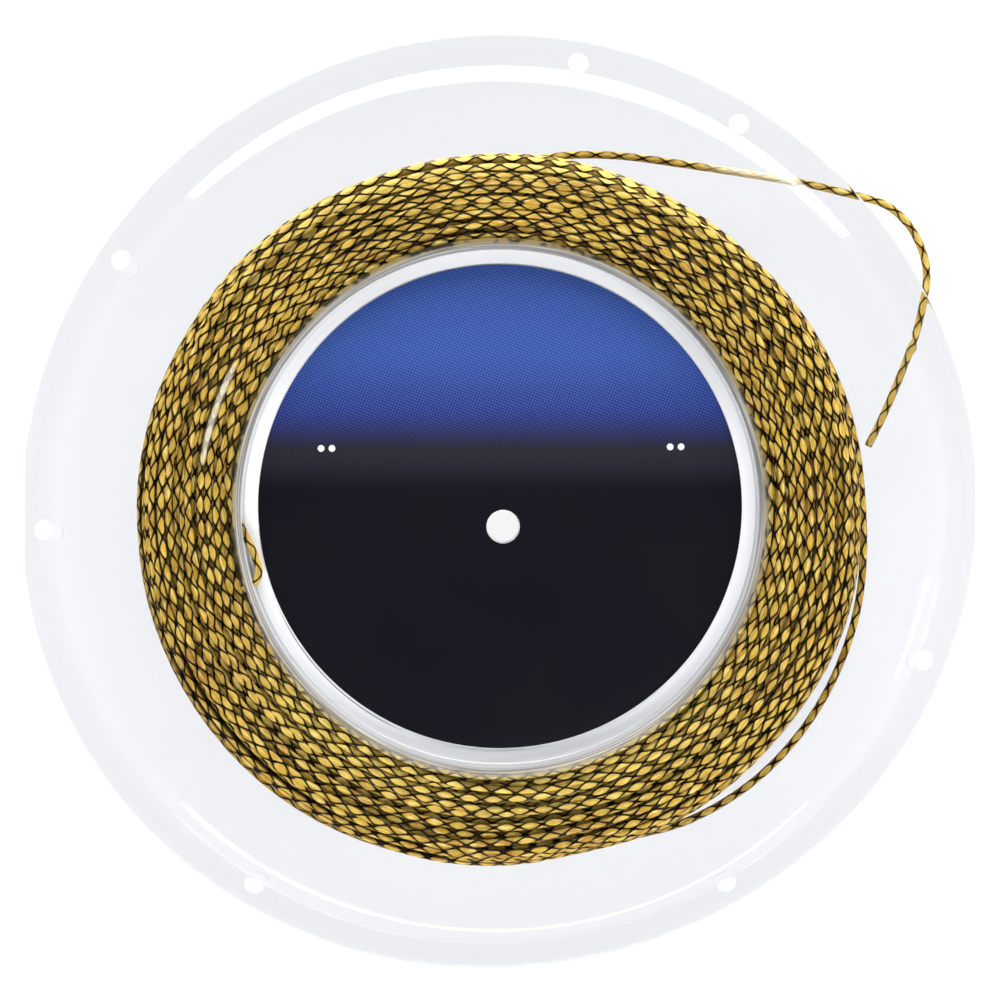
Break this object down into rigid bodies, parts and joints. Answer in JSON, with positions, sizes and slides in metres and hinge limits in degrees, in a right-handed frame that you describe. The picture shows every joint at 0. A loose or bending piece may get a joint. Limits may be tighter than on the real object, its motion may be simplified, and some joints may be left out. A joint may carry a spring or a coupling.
{
  "type": "string reel",
  "caption": "Translucent snap-together reel with dished flanges, holed rims and a labelled hub, wound full of racket string, its start laced through the hub and its free end over the rim.",
  "frame": {"origin": "centre of the reel's outline on the plane that the rear flange lies on", "axes": "+Z along the reel's axis, from the rear flange to the labelled front; +X to the right and +Y up as the labelled front is seen"},
  "size_m": [0.1538, 0.1538, 0.032],
  "materials": {
    "reel_plastic": "gloss, translucent milky white",
    "label": "printed, satin",
    "string": "gloss, amber with dark tracers"
  },
  "bodies": {
    "root": {"rear_half": "reel_plastic", "front_half": "reel_plastic", "front_label": "label", "string_core": "string", "string_winding": "string", "string_start": "string", "string_tail": "string"}
  },
  "joints": []
}
